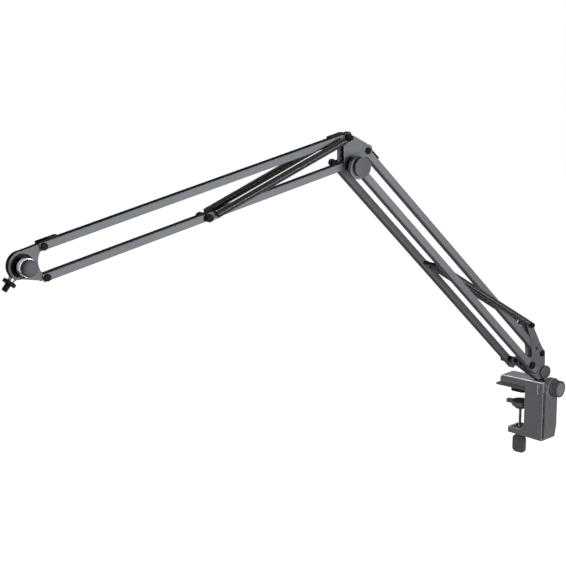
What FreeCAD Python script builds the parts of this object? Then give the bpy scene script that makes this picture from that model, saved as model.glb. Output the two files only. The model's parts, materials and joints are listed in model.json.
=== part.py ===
import FreeCAD, Part
import math
import os
import re
import Sketcher
from FreeCAD import Placement, Rotation, Vector

# A sprung microphone arm: desk clamp, swivel base, two parallelogram arms, elbow and tilting head.
# The arm lies in an X-Z plane and points along -X. The clamp is turned about Z by clamp_yaw.
# The origin is on the clamp screw's axis, in the face of the upper jaw's pad. Millimetres and degrees.

doc = FreeCAD.newDocument("BoomArm")
sheet = doc.addObject("Spreadsheet::Sheet", "Dims")

sizes = {
    # Linkage: pivots in the arm's plane, counted from the swivel axis and the desk top
    "base_pivot_x": -58.3, "base_pivot_z": 73.2,
    "lower_arm_length": 572.5, "lower_arm_angle": 43.74,
    "forearm_length": 565.4, "forearm_angle": 12,
    "link_offset_x": 39.4, "link_offset_z": 20.5,
    "upper_offset_x": -3.6, "upper_offset_z": 45.2,
    "pair_spacing": 56,
    # Rectangular tubes
    "tube_height": 12, "tube_width": 14, "tube_wall": 1.5, "tube_corner": 1.5,
    "tube_overhang": 9, "pair_tail": 20, "head_overhang": 6, "fork_reach": 12, "fork_gap": 1,
    "eye_diameter": 37, "eye_thickness": 6.4, "eye_proud": 0.4, "eye_shift": 1.4, "eye_drop": 1.45,
    "plug_depth": 3.6, "plug_lip": 1.4, "plug_gap": 0.1,
    "elbow_cap_length": 27, "link_cap_length": 38, "head_cap_length": 34, "cap_height": 2.4, "cap_setback": 3,
    # Pins, axles and running clearances
    "axle_diameter": 8, "pin_diameter": 6, "running_gap": 0.05, "side_gap": 0.4, "seat_gap": 0.2,
    "bolt_head_diameter": 11, "bolt_head_height": 3.4, "axle_head_diameter": 14, "bolt_chamfer": 0.8,
    "nut_width": 13, "nut_height": 6.5, "elbow_nut_width": 11, "elbow_nut_height": 2.5,
    "sleeve_diameter": 13, "overrun": 60,
    # Folded brackets
    "cheek_wall": 1.6, "swing_gap": 0.7,
    "elbow_lobe": 10, "elbow_top_lobe": 7.5, "elbow_link_lobe": 10.5,
    "elbow_notch_x": 17, "elbow_notch_z": 12.5, "elbow_shoulder_x": 36, "elbow_shoulder_z": 33.5,
    "elbow_web_start": 14, "elbow_web_wall": 2,
    "base_lobe": 7.5, "base_bolt_x": 53, "base_bolt_z": 8.5, "base_bolt_lobe": 9,
    "base_top_lobe": 7, "base_top_x": 19.5, "base_top_z": 68,
    "base_back_x": 25, "base_back_z": 33, "base_crook_x": 28.5, "base_crook_z": 6,
    "base_waist_x": 48, "base_waist_z": 30, "base_hip_x": 63, "base_hip_z": -15,
    "foot_half_length": 12, "foot_wall": 2,
    # Springs and their pins
    "forearm_spring_outer": 12, "forearm_spring_side": 16.2,
    "lower_spring_outer": 10.6, "lower_spring_side": 14.8,
    "wire_diameter": 1.5, "spring_shank": 14, "spring_curls": 22,
    "forearm_anchor": 283, "lower_anchor": 300,
    "anchor_reach": 1.6, "anchor_rim": 1.2, "anchor_rim_diameter": 9,
    "forearm_bobbin": 13, "lower_bobbin": 11, "bobbin_gap": 1.8,
    # Knobs
    "elbow_knob_diameter": 32.5, "elbow_knob_depth": 5.7, "elbow_knob_dome": 1.6,
    "elbow_knob_neck": 20, "elbow_knob_rise": 5.5,
    "head_knob_diameter": 25.4, "head_knob_depth": 11.5, "head_knob_dome": 6.5,
    "head_knob_neck": 20, "head_knob_rise": 0.6,
    "base_knob_diameter": 25, "base_knob_depth": 6, "base_knob_dome": 2.6,
    "base_knob_neck": 14, "base_knob_rise": 3.5,
    "knob_edge": 1.6, "knob_socket": 5,
    # Head
    "head_offset_x": -37.6, "head_offset_z": 20.8, "head_nose": 21.5, "head_chin": 19.5, "head_lobe": 5.5,
    "head_rim": 2.2, "head_rim_end": 17, "head_waist_x": 25.5, "head_waist_z": 3, "head_waist_radius": 28,
    "head_window": 36, "hub_diameter": 33, "hub_gap": 0.2, "collar_diameter": 26.6, "collar_depth": 10.2,
    "hub_boss": 24, "hub_boss_depth": 10.3,
    "stub_angle": 50.4, "stub_width": 11, "stub_start": 22.3, "stub_end": 27,
    "relief_diameter": 9.2, "thread_diameter": 9.525, "thread_length": 10, "thread_chamfer": 0.9,
    "lock_nut_diameter": 21, "lock_nut_height": 5, "lock_nut_notches": 12, "lock_nut_notch": 3,
    # Desk clamp, in its own frame: screw axis at zero, back towards -Y
    "clamp_yaw": 10, "screw_offset": 39.4, "clamp_width": 40, "clamp_back": 62, "clamp_throat": 22,
    "clamp_top": 30, "upper_jaw_under": 17, "upper_jaw_tip": 35.2, "upper_tip_round": 6, "top_edge": 3,
    "lower_jaw_top": 69, "lower_jaw_under": 79, "lower_jaw_tip": 15.2, "lower_tip_radius": 4,
    "clamp_bottom": 82.5, "throat_radius": 15, "trough_floor": 73, "trough_wall": 4,
    "cover_depth": 8, "cover_inset": 1.5, "cover_drop": 3, "cover_foot": 3, "cover_tuck": 3,
    "cover_taper": 22, "cover_round": 2.4, "seam_width": 4, "seam_half": 14,
    "boss_diameter": 37, "boss_proud": 2,
    "recess_height": 18, "recess_width": 3.4, "recess_depth": 1.2, "recess_back": 9, "recess_top": 5,
    "jaw_block_half": 17, "jaw_block_tip": 31, "jaw_plate_low": 8, "jaw_plate_height": 3,
    "jaw_plate_half": 19, "jaw_plate_tip": 45.5, "jaw_plate_radius": 4,
    "pad_half": 13, "pad_tip": 17, "pad_back": 15, "pad_corner": 8,
    "post_diameter": 14, "post_depth": 42, "post_flange": 20, "post_flange_height": 2, "washer_height": 0.8,
    "post_neck": 12, "post_neck_height": 22, "knob_bolt_rise": 13.7,
    "screw_diameter": 6, "screw_top": 18, "screw_length": 69, "screw_ball": 4.6,
    "plate_diameter": 34, "plate_height": 14, "plate_edge": 7, "plate_hub": 18,
    "plate_pad_height": 2, "plate_pad_inset": 1.5,
    "plate_lug": 29, "plate_lug_width": 9, "plate_socket_depth": 4.5,
    "paddle_width": 27, "paddle_height": 34, "paddle_thickness": 9, "paddle_corner": 8, "paddle_grip": 16,
    "paddle_edge": 2,
    "lock_height": 19, "lock_screw_diameter": 8, "lock_knob_diameter": 31, "lock_knob_length": 11.4,
    "lock_collar_diameter": 33, "lock_collar_length": 3, "lock_stand_off": 1,
    "lock_ribs": 20, "lock_rib_cut": 3,
    "lock_face_recess": 1, "lock_face_rim": 3,
}
for row, (alias, number) in enumerate(sizes.items(), start=1):
    sheet.set(f"A{row}", alias)
    sheet.set(f"B{row}", str(number))
    sheet.setAlias(f"B{row}", alias)
doc.recompute()

nodes = []
tolerance = 1e-6


# Writes a formula of size names in the sheet's own words.
def formula(text):
    return re.sub(r"[a-z]\w*", lambda word: f"Dims.{word[0]}" if word[0] in sizes else word[0], text)


def bind(item, path, text):
    item.setExpression(path, formula(text))


# Sets a piece at a place, with a turn about one axis.
def settle(item, x="0", y="0", z="0", axis=None, angle=None):
    if axis:
        item.Placement = Placement(Vector(), Rotation(axis, math.degrees(1)))
        bind(item, "Placement.Rotation.Angle", angle)
    for letter, text in zip("xyz", (x, y, z)):
        bind(item, f"Placement.Base.{letter}", text)
    return item


def new_body(label):
    body = doc.addObject("PartDesign::Body", label)
    body.Label = label
    body.AllowCompound = True
    nodes.append(body)
    return body


def new_sketch(body, role, lift="0"):
    sketch = body.newObject("Sketcher::SketchObject", f"{body.Label}_sketch")
    plane = [feature for feature in body.Origin.OriginFeatures if feature.Role == role][0]
    sketch.AttachmentSupport = [(plane, "")]
    sketch.MapMode = "FlatFace"
    bind(sketch, "AttachmentOffset.Base.z", lift)
    return sketch


# Ties one point of a sketch line or circle to two formulas.
def tie_point(sketch, shape, point, x, y):
    for kind, text in (("DistanceX", x), ("DistanceY", y)):
        index = sketch.addConstraint(Sketcher.Constraint(kind, shape, point, 0.0))
        bind(sketch, f"Constraints[{index}]", text)


def draw_polygon(sketch, corners):
    first = sketch.GeometryCount
    count = len(corners)
    turns = [2 * math.pi * step / count for step in range(count)]
    spots = [Vector(math.cos(turn), math.sin(turn), 0) for turn in turns]
    for step in range(count):
        sketch.addGeometry(Part.LineSegment(spots[step], spots[(step + 1) % count]), False)
    for step in range(count):
        follower = first + (step + 1) % count
        sketch.addConstraint(Sketcher.Constraint("Coincident", first + step, 2, follower, 1))
    for step, (x, y) in enumerate(corners):
        tie_point(sketch, first + step, 1, x, y)
    return sketch


def draw_circle(sketch, x, y, diameter):
    shape = sketch.addGeometry(Part.Circle(Vector(), Vector(0, 0, 1), 1), False)
    index = sketch.addConstraint(Sketcher.Constraint("Diameter", shape, 2.0))
    bind(sketch, f"Constraints[{index}]", diameter)
    tie_point(sketch, shape, 3, x, y)
    return sketch


def draw_box(sketch, x0, y0, x1, y1):
    return draw_polygon(sketch, [(x0, y0), (x1, y0), (x1, y1), (x0, y1)])


def add_feature(body, kind, sketch, path, text, symmetric=True, reverse=False):
    feature = body.newObject(f"PartDesign::{kind}", f"{body.Label}_{kind.lower()}")
    feature.Profile = sketch
    feature.SideType = "Symmetric" if symmetric else "One side"
    feature.Reversed = reverse
    bind(feature, path, text)
    return feature


def pad(body, sketch, length, symmetric=True, reverse=False):
    return add_feature(body, "Pad", sketch, "Length", length, symmetric, reverse)


def pocket(body, sketch, length, symmetric=True, reverse=False):
    doc.recompute()
    before = body.Shape.Volume
    feature = add_feature(body, "Pocket", sketch, "Length", length, symmetric, reverse)
    doc.recompute()
    if not body.Shape.Volume < before:
        raise RuntimeError(f"a pocket of {body.Label} cuts nothing")
    return feature


def bore(body, role, x, y, diameter, length="overrun"):
    return pocket(body, draw_circle(new_sketch(body, role), x, y, diameter), length)


# Rounds or bevels the edges of the last feature that a test picks.
def soften(body, kind, path, text, picks):
    doc.recompute()
    base = body.Tip
    names = [f"Edge{place}" for place, edge in enumerate(base.Shape.Edges, start=1) if picks(edge)]
    feature = body.newObject(f"PartDesign::{kind}", f"{body.Label}_{kind.lower()}")
    feature.Base = (base, names)
    bind(feature, path, text)
    doc.recompute()
    if not feature.isValid():
        raise RuntimeError(f"a {kind.lower()} of {body.Label} failed")
    return feature


def runs_along(edge, axis):
    ends = [vertex.Point for vertex in edge.Vertexes]
    if len(ends) < 2:
        return False
    return abs((ends[1] - ends[0]).dot(axis)) > edge.Length - tolerance


# A turned piece from its half sections: pairs of radius and place along the axis.
def turned(label, *sections, role="XY_Plane"):
    body = new_body(label)
    sketch = new_sketch(body, role)
    for section in sections:
        draw_polygon(sketch, section)
    feature = body.newObject("PartDesign::Revolution", f"{label}_revolution")
    feature.Profile = sketch
    feature.ReferenceAxis = (sketch, ["V_Axis"])
    return body


beam = Vector(1, 0, 0)
across = Vector(0, 1, 0)
upward = Vector(0, 0, 1)
swivel_x = "screw_offset * sin(clamp_yaw)"
swivel_y = "-screw_offset * cos(clamp_yaw)"
base_at = (f"({swivel_x} + base_pivot_x)", "base_pivot_z")
elbow_at = (f"({base_at[0]} - lower_arm_length * cos(lower_arm_angle))",
            f"({base_at[1]} + lower_arm_length * sin(lower_arm_angle))")
wrist_at = (f"({elbow_at[0]} - forearm_length * cos(forearm_angle))",
            f"({elbow_at[1]} - forearm_length * sin(forearm_angle))")
base_link_at = (f"({base_at[0]} + link_offset_x)", f"({base_at[1]} + link_offset_z)")
elbow_link_at = (f"({elbow_at[0]} + link_offset_x)", f"({elbow_at[1]} + link_offset_z)")
elbow_top_at = (f"({elbow_at[0]} + upper_offset_x)", f"({elbow_at[1]} + upper_offset_z)")
wrist_top_at = (f"({wrist_at[0]} + upper_offset_x)", f"({wrist_at[1]} + upper_offset_z)")
head_at = (f"({wrist_at[0]} + head_offset_x)", f"({wrist_at[1]} + head_offset_z)")
base_bolt_at = (f"({base_at[0]} + base_bolt_x)", f"({base_at[1]} + base_bolt_z)")
spring_top_at = (f"({base_at[0]} + base_top_x)", f"({base_at[1]} + base_top_z)")
knob_bolt_at = (swivel_x, "(clamp_top + washer_height + post_flange_height + knob_bolt_rise)")

cheek_inner = "(tube_width / 2 + side_gap)"
cheek_outer = "(tube_width / 2 + side_gap + cheek_wall)"
pair_inner = "(pair_spacing / 2 - tube_width / 2)"
pair_outer = "(pair_spacing / 2 + tube_width / 2)"
head_width = "(tube_width - 2 * tube_wall - 2 * fork_gap)"
axle_bore = "axle_diameter + 2 * running_gap"
pin_bore = "pin_diameter + 2 * running_gap"
arm_turns = {"lower": "lower_arm_angle", "fore": "-forearm_angle"}


# Sets a piece of the arm at a pivot, in the arm's plane or turned with one of the arms.
def settle_arm(item, at, turn=None):
    if turn:
        return settle(item, at[0], swivel_y, at[1], across, arm_turns[turn])
    return settle(item, at[0], swivel_y, at[1])


# Tubes. Each runs from its first pivot along its own -X to its second one.
def tube(label, length, nose, shift="0", tail="tube_overhang"):
    body = new_body(label)
    section = new_sketch(body, "YZ_Plane", tail)
    draw_box(section, f"{shift} - tube_width / 2", "-tube_height / 2",
             f"{shift} + tube_width / 2", "tube_height / 2")
    pad(body, section, f"{length} + {tail} + {nose}", False, True)
    soften(body, "Fillet", "Radius", "tube_corner", lambda edge: runs_along(edge, beam))
    hollow = new_sketch(body, "YZ_Plane", f"{tail} + overrun")
    draw_box(hollow, f"{shift} - tube_width / 2 + tube_wall", "-tube_height / 2 + tube_wall",
             f"{shift} + tube_width / 2 - tube_wall", "tube_height / 2 - tube_wall")
    pocket(body, hollow, f"{length} + {tail} + {nose} + 2 * overrun", False)
    return body


def fork(body, length):
    slot = new_sketch(body, "XY_Plane")
    draw_box(slot, f"-{length} - overrun", "-tube_width / 2 + tube_wall",
             f"-{length} + fork_reach", "tube_width / 2 - tube_wall")
    pocket(body, slot, "overrun")


forearm_lower = tube("forearm_lower_tube", "forearm_length", "head_overhang")
bore(forearm_lower, "XZ_Plane", "0", "0", axle_bore)
bore(forearm_lower, "XZ_Plane", "-forearm_anchor", "0", "pin_diameter")
bore(forearm_lower, "XZ_Plane", "-forearm_length", "0", pin_bore)
fork(forearm_lower, "forearm_length")
settle_arm(forearm_lower, elbow_at, "fore")

forearm_upper = tube("forearm_upper_tube", "forearm_length", "head_overhang")
bore(forearm_upper, "XZ_Plane", "0", "0", pin_bore)
bore(forearm_upper, "XZ_Plane", "-forearm_length", "0", pin_bore)
fork(forearm_upper, "forearm_length")
settle_arm(forearm_upper, elbow_top_at, "fore")

link = tube("lower_link_tube", "lower_arm_length", "tube_overhang")
bore(link, "XZ_Plane", "0", "0", pin_bore)
bore(link, "XZ_Plane", "-lower_arm_length", "0", pin_bore)
settle_arm(link, base_link_at, "lower")

# The lower pair: one tube on each side, ending at the elbow in lugs. The near one has a round eye outside.
pair_shifts = {"near": "-pair_spacing / 2", "far": "pair_spacing / 2"}
eye_face = f"({pair_outer} + eye_proud)"
for side, shift in pair_shifts.items():
    lower = tube(f"{side}_lower_tube", "lower_arm_length", "0", shift, "pair_tail")
    for face in ("-tube_width / 2 + tube_wall", "tube_width / 2"):
        lug = new_sketch(lower, "XZ_Plane", f"-({shift}) + {face}")
        draw_circle(lug, "-lower_arm_length", "0", "tube_height")
        pad(lower, lug, "tube_wall", False, True)
    if side == "near":
        eye = new_sketch(lower, "XZ_Plane", eye_face)
        draw_circle(eye, "-lower_arm_length + eye_shift", "-eye_drop", "eye_diameter")
        pad(lower, eye, "eye_thickness", False, True)
    bore(lower, "XZ_Plane", "-lower_arm_length", "0", axle_bore, "2 * overrun + pair_spacing")
    bore(lower, "XZ_Plane", "0", "0", axle_bore, "2 * overrun + pair_spacing")
    seat = new_sketch(lower, "XZ_Plane")
    draw_circle(seat, "-lower_anchor", "0", "pin_diameter")
    pocket(lower, seat, f"2 * {pair_inner} + 2 * tube_wall")
    settle_arm(lower, base_at, "lower")


# Moulded plugs that close the open tube ends, with a lip over the wall. One node may hold both ends.
def plugs(label, at, turn, ends, shift="0"):
    body = new_body(label)
    for end, outward in ends:
        lip = new_sketch(body, "YZ_Plane", end)
        draw_box(lip, f"{shift} - tube_width / 2", "-tube_height / 2",
                 f"{shift} + tube_width / 2", "tube_height / 2")
        pad(body, lip, "plug_lip", False, not outward)
    soften(body, "Fillet", "Radius", "tube_corner", lambda edge: runs_along(edge, beam))
    inset = "(tube_wall + plug_gap)"
    for end, outward in ends:
        stem = new_sketch(body, "YZ_Plane", end)
        draw_box(stem, f"{shift} - tube_width / 2 + {inset}", f"-tube_height / 2 + {inset}",
                 f"{shift} + tube_width / 2 - {inset}", f"tube_height / 2 - {inset}")
        pad(body, stem, "plug_depth", False, outward)
    settle_arm(body, at, turn)


plugs("forearm_lower_plug", elbow_at, "fore", [("tube_overhang", True)])
plugs("forearm_upper_plug", elbow_top_at, "fore", [("tube_overhang", True)])
link_nose = "-lower_arm_length - tube_overhang"
plugs("link_plugs", base_link_at, "lower", [("tube_overhang", True), (link_nose, False)])
for side, shift in pair_shifts.items():
    plugs(f"{side}_lower_plug", base_at, "lower", [("pair_tail", True)], shift)


# Raised strips on top of the tubes at their ends, rounded over both ends.
def cap(label, at, turn, start, length):
    body = new_body(label)
    strip = new_sketch(body, "XY_Plane", "tube_height / 2")
    draw_box(strip, start, "-tube_width / 2", f"{start} + {length}", "tube_width / 2")
    pad(body, strip, "cap_height", False)
    soften(body, "Fillet", "Radius", "cap_height / 2",
           lambda edge: runs_along(edge, across) and edge.CenterOfMass.z > body.Tip.Shape.BoundBox.Center.z)
    settle_arm(body, at, turn)
    return body


cap("link_elbow_cap", base_link_at, "lower", link_nose, "link_cap_length")
cap("upper_elbow_cap", elbow_top_at, "fore", "-elbow_cap_length - cap_setback", "elbow_cap_length")
head_cap = cap("upper_head_cap", elbow_top_at, "fore", "-forearm_length - head_overhang", "head_cap_length")
fork(head_cap, "forearm_length")

# Elbow bracket: two cheeks outside the tubes, joined by a web on the upper right edge.
link_spot = ("link_offset_x", "link_offset_z")
top_spot = ("upper_offset_x", "upper_offset_z")
elbow = new_body("elbow_bracket")
cheeks = new_sketch(elbow, "XZ_Plane")
draw_polygon(cheeks, [("upper_offset_x - elbow_top_lobe", "upper_offset_z"), ("-elbow_lobe", "0"),
                      ("elbow_lobe", "0"), ("elbow_notch_x", "elbow_notch_z"),
                      ("link_offset_x", "link_offset_z - elbow_link_lobe"),
                      ("link_offset_x + elbow_link_lobe", "link_offset_z"),
                      ("elbow_shoulder_x", "elbow_shoulder_z"),
                      ("upper_offset_x + elbow_web_start", "upper_offset_z + cheek_wall")])
pad(elbow, cheeks, f"2 * {cheek_outer}")
for spot, radius in ((("0", "0"), "elbow_lobe"), (top_spot, "elbow_top_lobe"),
                     (link_spot, "elbow_link_lobe")):
    pad(elbow, draw_circle(new_sketch(elbow, "XZ_Plane"), *spot, f"2 * {radius}"), f"2 * {cheek_outer}")
inside = new_sketch(elbow, "XZ_Plane")
draw_polygon(inside, [("-overrun", "-overrun"), ("link_offset_x + overrun", "-overrun"),
                      ("link_offset_x + overrun", "link_offset_z"),
                      ("elbow_shoulder_x", "elbow_shoulder_z - elbow_web_wall"),
                      ("upper_offset_x + elbow_web_start", "upper_offset_z + cheek_wall - elbow_web_wall"),
                      ("-overrun", "upper_offset_z")])
pocket(elbow, inside, f"2 * {cheek_inner}")
tube_swing = "2 * (sqrt((tube_overhang + plug_lip) ^ 2 + (tube_height / 2) ^ 2) + swing_gap)"
for spot in (top_spot, link_spot):
    pocket(elbow, draw_circle(new_sketch(elbow, "XZ_Plane"), *spot, tube_swing), f"2 * {cheek_inner}")
bore(elbow, "XZ_Plane", "0", "0", axle_bore)
for spot in (top_spot, link_spot):
    bore(elbow, "XZ_Plane", *spot, "pin_diameter")
settle_arm(elbow, elbow_at)

# Base bracket: a channel folded up from a foot on the swivel post, with a tall arm for the springs.
foot_z = "(clamp_top + washer_height + post_flange_height - base_pivot_z)"
knob_spot = ("-base_pivot_x", f"({foot_z} + knob_bolt_rise)")
base = new_body("base_bracket")
cheeks = new_sketch(base, "XZ_Plane")
draw_polygon(cheeks, [("0", "-base_lobe"), ("-base_pivot_x - foot_half_length", foot_z),
                      ("-base_pivot_x + foot_half_length", foot_z),
                      ("base_hip_x", "base_hip_z"),
                      ("base_bolt_x + base_bolt_lobe", "base_bolt_z"), ("base_waist_x", "base_waist_z"),
                      ("base_top_x + base_top_lobe", "base_top_z"),
                      ("base_top_x - base_top_lobe", "base_top_z"),
                      ("base_back_x", "base_back_z"), ("base_crook_x", "base_crook_z"), ("0", "base_lobe")])
pad(base, cheeks, f"2 * {cheek_outer}")
bolt_spot = ("base_bolt_x", "base_bolt_z")
spring_spot = ("base_top_x", "base_top_z")
for spot, radius in ((("0", "0"), "base_lobe"), (bolt_spot, "base_bolt_lobe"),
                     (spring_spot, "base_top_lobe")):
    pad(base, draw_circle(new_sketch(base, "XZ_Plane"), *spot, f"2 * {radius}"), f"2 * {cheek_outer}")
inside = new_sketch(base, "XZ_Plane")
draw_box(inside, "-overrun", f"{foot_z} + foot_wall", "-base_pivot_x + overrun", "base_top_z + overrun")
pocket(base, inside, f"2 * {cheek_inner}")
bore(base, "XZ_Plane", "0", "0", "axle_diameter")
for spot in (link_spot, bolt_spot, spring_spot):
    bore(base, "XZ_Plane", *spot, "pin_diameter")
bore(base, "XZ_Plane", *knob_spot, pin_bore)
neck_hole = new_sketch(base, "XY_Plane", foot_z)
draw_circle(neck_hole, "-base_pivot_x", "0", "post_neck + 2 * running_gap")
pocket(base, neck_hole, "2 * foot_wall + cheek_wall")
settle_arm(base, base_at)

# Head bracket: a narrow channel inside the forked tube ends, with a rim round its nose.
wrist_spot = ("-head_offset_x", "-head_offset_z")
wrist_top_spot = ("(upper_offset_x - head_offset_x)", "(upper_offset_z - head_offset_z)")
head = new_body("head_bracket")
cheeks = new_sketch(head, "XZ_Plane")
draw_polygon(cheeks, [("0", "head_nose"), (wrist_top_spot[0], f"{wrist_top_spot[1]} + head_lobe"),
                      (wrist_spot[0], f"{wrist_spot[1]} - head_lobe"), ("0", "-head_chin")])
pad(head, cheeks, head_width)
for spot, radius in ((("0", "0"), "head_nose"), (wrist_spot, "head_lobe"), (wrist_top_spot, "head_lobe")):
    pad(head, draw_circle(new_sketch(head, "XZ_Plane"), *spot, f"2 * {radius}"), head_width)
waist = new_sketch(head, "XZ_Plane")
draw_circle(waist, "head_waist_x + head_waist_radius", "head_waist_z", "2 * head_waist_radius")
pocket(head, waist, "overrun")
chin = new_sketch(head, "XZ_Plane")
draw_polygon(chin, [("-2 * head_nose", "-head_chin"), ("0", "-head_chin"),
                    (wrist_spot[0], f"{wrist_spot[1]} - head_lobe"), (wrist_spot[0], "-overrun"),
                    ("-2 * head_nose", "-overrun")])
pocket(head, chin, "overrun")
for spot in (wrist_spot, wrist_top_spot):
    pad(head, draw_circle(new_sketch(head, "XZ_Plane"), *spot, "2 * head_lobe"), head_width)
inside = new_sketch(head, "XZ_Plane")
inner_top = f"({wrist_top_spot[1]} + head_lobe - head_rim)"
draw_polygon(inside, [("0", "head_nose - head_rim"), (wrist_top_spot[0], inner_top), ("overrun", inner_top),
                      ("overrun", "-overrun"), ("-overrun", "-overrun"),
                      ("-overrun", "-overrun * tan(head_rim_end)"), ("0", "0")])
pocket(head, inside, f"{head_width} - 2 * cheek_wall")
pocket(head, draw_circle(new_sketch(head, "XZ_Plane"), "0", "0", "2 * head_nose - 2 * head_rim"),
       f"{head_width} - 2 * cheek_wall")
bore(head, "XZ_Plane", "0", "0", axle_bore)
window = new_sketch(head, "XZ_Plane")
draw_circle(window, "0", "0", "head_window")
pocket(head, window, "overrun", False, True)
for spot in (wrist_spot, wrist_top_spot):
    bore(head, "XZ_Plane", *spot, "pin_diameter")
settle_arm(head, head_at)


# Headed pins along Y, the head on the near side and a rivet head on the far one.
def headed_pin(label, at, shank, reach, rim="bolt_head_diameter / 2"):
    body = turned(label, [("0", f"-{reach} - bolt_head_height"),
                          (f"{rim} - bolt_chamfer", f"-{reach} - bolt_head_height"),
                          (rim, f"-{reach} - bolt_head_height + bolt_chamfer"),
                          (rim, f"-{reach}"), (f"{shank} / 2", f"-{reach}"),
                          (f"{shank} / 2", reach), (rim, reach),
                          (rim, f"{reach} + bolt_head_height - bolt_chamfer"),
                          (f"{rim} - bolt_chamfer", f"{reach} + bolt_head_height"),
                          ("0", f"{reach} + bolt_head_height")])
    settle_arm(body, at)


headed_pin("elbow_link_pin", elbow_link_at, "pin_diameter", cheek_outer)
headed_pin("base_tie_bolt", base_bolt_at, "pin_diameter", cheek_outer)
headed_pin("head_lower_pin", wrist_at, "pin_diameter", "(tube_width / 2 + seat_gap)")
headed_pin("head_upper_pin", wrist_top_at, "pin_diameter", "(tube_width / 2 + seat_gap)")
headed_pin("base_axle", base_at, "axle_diameter", f"({pair_outer} + seat_gap)", "axle_head_diameter / 2")


# Pins that carry the spring ends: a bobbin inside each spring's hook and a rim outside it.
def spring_pin(label, at, face):
    inner = f"({face} + seat_gap)"
    hold = "(forearm_spring_side - bobbin_gap)"
    rim = "(forearm_spring_side + anchor_reach)"
    end = f"({rim} + anchor_rim)"
    half = [("anchor_rim_diameter / 2", end), ("anchor_rim_diameter / 2", rim), ("pin_diameter / 2", rim),
            ("pin_diameter / 2", hold), ("forearm_bobbin / 2", hold), ("forearm_bobbin / 2", inner),
            ("pin_diameter / 2", inner)]
    mirrored = [(radius, f"-{place}") for radius, place in reversed(half)]
    settle_arm(turned(label, [("0", end), *half, *mirrored, ("0", f"-{end}")]), at)


forearm_anchor_at = (f"({elbow_at[0]} - forearm_anchor * cos(forearm_angle))",
                     f"({elbow_at[1]} - forearm_anchor * sin(forearm_angle))")
lower_anchor_at = (f"({base_at[0]} - lower_anchor * cos(lower_arm_angle))",
                   f"({base_at[1]} + lower_anchor * sin(lower_arm_angle))")
spring_pin("elbow_top_pin", elbow_top_at, cheek_outer)
spring_pin("forearm_spring_pin", forearm_anchor_at, "tube_width / 2")

# The base's spring pins stop at the cheeks, so that the link tube can pass between them.
def pin_stub(sign):
    start = f"{sign} * {cheek_inner}"
    inner = f"{sign} * ({cheek_outer} + seat_gap)"
    hold = f"{sign} * (lower_spring_side - bobbin_gap)"
    rim = f"{sign} * (lower_spring_side + anchor_reach)"
    end = f"{sign} * (lower_spring_side + anchor_reach + anchor_rim)"
    return [("0", start), ("pin_diameter / 2", start), ("pin_diameter / 2", inner),
            ("lower_bobbin / 2", inner), ("lower_bobbin / 2", hold), ("pin_diameter / 2", hold),
            ("pin_diameter / 2", rim), ("anchor_rim_diameter / 2", rim),
            ("anchor_rim_diameter / 2", end), ("0", end)]


settle_arm(turned("base_spring_pins", pin_stub("-1"), pin_stub("1")), spring_top_at)


def plain_rod(label, at, diameter, start, end):
    body = turned(label, [("0", start), (f"{diameter} / 2", start), (f"{diameter} / 2", end), ("0", end)])
    settle_arm(body, at)


cross_end = f"({pair_inner} + tube_wall)"
plain_rod("lower_spring_pin", lower_anchor_at, "pin_diameter", f"-{cross_end}", cross_end)
plain_rod("base_link_pin", base_link_at, "pin_diameter", f"-{cheek_outer}", cheek_outer)


# Rings on an axle, between two places along it.
def ring(diameter, start, end):
    hole = "axle_diameter / 2 + running_gap"
    return [(hole, start), (f"{diameter} / 2", start), (f"{diameter} / 2", end), (hole, end)]


# Sleeves that hold the lower pair away from the brackets.
for place, at in (("elbow", elbow_at), ("base", base_at)):
    near, far = [ring("sleeve_diameter", f"{sign} * ({cheek_outer} + seat_gap)",
                      f"{sign} * ({pair_inner} - seat_gap)") for sign in ("-1", "1")]
    settle_arm(turned(f"{place}_sleeves", near, far), at)

# Elbow axle, held by a nut on the far side and by the knob on the near side.
knob_back = f"({eye_face} + seat_gap)"
plain_rod("elbow_axle", elbow_at, "axle_diameter", f"-{knob_back} - knob_socket",
          f"{pair_outer} + elbow_nut_height")


def hex_nut(label, at, start, hole, name="nut"):
    body = new_body(label)
    outline = new_sketch(body, "XZ_Plane", f"-({start}) - {name}_height")
    side = f"{name}_width / sqrt(3)"
    flat = f"{name}_width / 2"
    draw_polygon(outline, [(side, "0"), (f"{side} / 2", flat), (f"-{side} / 2", flat),
                           (f"-{side}", "0"), (f"-{side} / 2", f"-{flat}"), (f"{side} / 2", f"-{flat}")])
    pad(body, outline, f"{name}_height", False)
    bore(body, "XZ_Plane", "0", "0", hole, "2 * overrun + pair_spacing")
    settle_arm(body, at)


hex_nut("elbow_nut", elbow_at, f"{pair_outer} + seat_gap", "axle_diameter", "elbow_nut")
hex_nut("base_knob_nut", knob_bolt_at, f"{cheek_outer} + seat_gap", "pin_diameter")
hex_nut("head_nut", head_at, f"{head_width} / 2 + seat_gap", "axle_diameter")


# Moulded knobs on a neck, turned about Y. The domed face is a quarter ellipse, in shares of its radii.
dome_turns = [math.radians(turn) for turn in range(0, 90, 15)]
dome_shares = [(math.cos(turn), 1 - math.sin(turn)) for turn in dome_turns]


def knob(label, at, back, name, hole):
    rim = f"{name}_diameter / 2"
    neck = f"{name}_neck / 2"
    step = f"-({back}) - {name}_rise"
    front = f"{step} - {name}_depth"
    bottom = f"-({back}) - knob_socket - seat_gap"
    dome = [(f"{rim} * {out_share}", f"{front} + {name}_dome * {down_share}")
            for out_share, down_share in dome_shares]
    body = turned(label, [(f"{hole} / 2 + running_gap", f"-({back})"), (neck, f"-({back})"), (neck, step),
                          (f"{rim} - knob_edge", step), (rim, f"{step} - knob_edge"), *dome, ("0", front),
                          ("0", bottom), (f"{hole} / 2 + running_gap", bottom)])
    settle_arm(body, at)


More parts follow.
